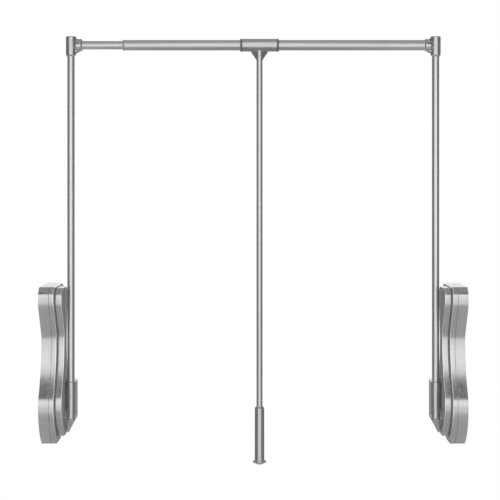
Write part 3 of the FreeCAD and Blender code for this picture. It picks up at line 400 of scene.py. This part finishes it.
def white_rays(tree):
    """1 for the rays that see the studio as white: those of the camera, of gloss and of glass."""
    rays = tree.nodes.new("ShaderNodeLightPath")
    share = rays.outputs["Is Camera Ray"]
    for ray in ("Is Glossy Ray", "Is Transmission Ray"):
        larger = tree.nodes.new("ShaderNodeMath")
        larger.operation = "MAXIMUM"
        tree.links.new(share, larger.inputs[0])
        tree.links.new(rays.outputs[ray], larger.inputs[1])
        share = larger.outputs["Value"]
    return share


def add_world():
    """White behind the object, also where metal mirrors it, and a softer grey light on matt surfaces."""
    world = bpy.data.worlds.new("studio")
    bpy.context.scene.world = world
    world.use_nodes = True
    tree = world.node_tree
    tree.nodes.clear()
    white = tree.nodes.new("ShaderNodeBackground")
    white.inputs["Color"].default_value = (1, 1, 1, 1)
    soft = tree.nodes.new("ShaderNodeBackground")
    soft.inputs["Color"].default_value = (0.55, 0.55, 0.55, 1)
    mix = tree.nodes.new("ShaderNodeMixShader")
    output = tree.nodes.new("ShaderNodeOutputWorld")
    tree.links.new(white_rays(tree), mix.inputs["Fac"])
    tree.links.new(soft.outputs["Background"], mix.inputs[1])
    tree.links.new(white.outputs["Background"], mix.inputs[2])
    tree.links.new(mix.outputs["Shader"], output.inputs["Surface"])


def add_floor():
    """A pale round floor well below the object, matt, with part of its white its own."""
    mesh = bpy.data.meshes.new("floor")
    work = bmesh.new()
    bmesh.ops.create_circle(work, cap_ends=True, segments=96, radius=FLOOR_RADIUS,
                            matrix=Matrix.Translation((MIDDLE_X, 0, FLOOR_Z)))
    work.to_mesh(mesh)
    work.free()
    floor = bpy.data.objects.new("floor", mesh)
    bpy.context.scene.collection.objects.link(floor)
    material, tree, shader = new_material("pale_floor")
    shader.inputs["Base Color"].default_value = (0.82, 0.82, 0.82, 1)
    shader.inputs["Roughness"].default_value = 0.9
    shader.inputs["Emission Color"].default_value = (1, 1, 1, 1)
    tree.links.new(spread(tree, white_rays(tree), 0, 0.5, 0, 1), shader.inputs["Emission Strength"])
    mesh.materials.append(material)


add_camera()
add_world()
add_floor()

# The front light in three bands, from the bottom up: lower edge, upper edge, lamp's level at the
# sides and in the middle, and how far the side lamps reach.
BANDS = (("low", -1.0, -0.1, 0.5, 0.4, 1.3), ("middle", -0.1, 1.2, 0.75, 0.4, 1.75),
         ("high", 1.2, 2.9, 0.5, 0.5, 0.6))
CENTRE_HALF = 0.55
for band, low, high, side_level, centre_level, reach in BANDS:
    for side, sign in (("right", 1), ("left", -1)):
        across = sign * (reach + CENTRE_HALF) / 2
        add_softbox(f"softbox_{band}_{side}", across, low, high, reach - CENTRE_HALF, side_level)
    add_softbox(f"softbox_{band}_centre", 0, low, high, 2 * CENTRE_HALF, centre_level)

# The grey cards of the room round the object. First their levels.
SIDE, BACK, BACK_TOP, FRONT, FRONT_HIGH = 0.22, 0.27, 0.5, 0.5, 0.02
TOP, BOTTOM, BOTTOM_SIDE = 0.42, 0.26, 0.6
ROOM_HALF = 2.6          # half width of the room
ROOM_TOP = 3.3
FRONT_Y = -2.7
FRONT_LOW = -1.34        # foot of the front cards
FRONT_SPLIT = 1.2        # where the low front card ends and the high ones begin
FRONT_MIDDLE = 0.9       # half width of the pale part of the high front
BACK_TOP_FOOT = 2.1
REAR_CARD = 1.4          # width of the cards beside the white patch
BOTTOM_CENTRE = 0.55     # half width of the darker strip below the object
BOTTOM_Z = FLOOR_Z + 0.03
SIDE_CENTRE = (0.4, 0.3)       # Y and Z of a side card's centre, and its half sides
SIDE_HALF = (3.1, 3.0)


def upright_card(name, x_from, x_to, z_from, z_to, y, level):
    """A card across the closet, facing front or back, with x from the object's middle."""
    centre = (MIDDLE_X + (x_from + x_to) / 2, y, (z_from + z_to) / 2)
    add_card(name, centre, ((x_to - x_from) / 2, 0, 0), (0, 0, (z_to - z_from) / 2), level)


def level_card(name, x_from, x_to, y_from, y_to, z, level):
    """A card under or over the object, with x from the object's middle."""
    centre = (MIDDLE_X + (x_from + x_to) / 2, (y_from + y_to) / 2, z)
    add_card(name, centre, ((x_to - x_from) / 2, 0, 0), (0, (y_to - y_from) / 2, 0), level)


for side, sign in (("right", 1), ("left", -1)):
    add_card(f"side_card_{side}", (MIDDLE_X + sign * ROOM_HALF, *SIDE_CENTRE),
             (0, SIDE_HALF[0], 0), (0, 0, SIDE_HALF[1]), SIDE)
    near, far = sorted((sign * WINDOW, sign * (WINDOW + REAR_CARD)))
    upright_card(f"rear_card_{side}", near, far, -WINDOW, WINDOW, BACK_Y, BACK)
    near, far = sorted((sign * FRONT_MIDDLE, sign * ROOM_HALF))
    upright_card(f"front_card_high_{side}", near, far, FRONT_SPLIT, ROOM_TOP, FRONT_Y, FRONT_HIGH)
    near, far = sorted((sign * BOTTOM_CENTRE, sign * ROOM_HALF))
    level_card(f"bottom_card_{side}", near, far, -ROOM_HALF, ROOM_HALF, BOTTOM_Z, BOTTOM_SIDE)
upright_card("rear_card_top", -ROOM_HALF, ROOM_HALF, BACK_TOP_FOOT, ROOM_TOP, BACK_Y, BACK_TOP)
upright_card("front_card_low", -ROOM_HALF, ROOM_HALF, FRONT_LOW, FRONT_SPLIT, FRONT_Y, FRONT)
upright_card("front_card_high", -FRONT_MIDDLE, FRONT_MIDDLE, FRONT_SPLIT, ROOM_TOP, FRONT_Y, FRONT)
level_card("top_card", -ROOM_HALF, ROOM_HALF, FRONT_Y, BACK_Y, ROOM_TOP, TOP)
level_card("bottom_card", -BOTTOM_CENTRE, BOTTOM_CENTRE, -ROOM_HALF, ROOM_HALF, BOTTOM_Z, BOTTOM)

bpy.context.scene.view_settings.view_transform = "Standard"
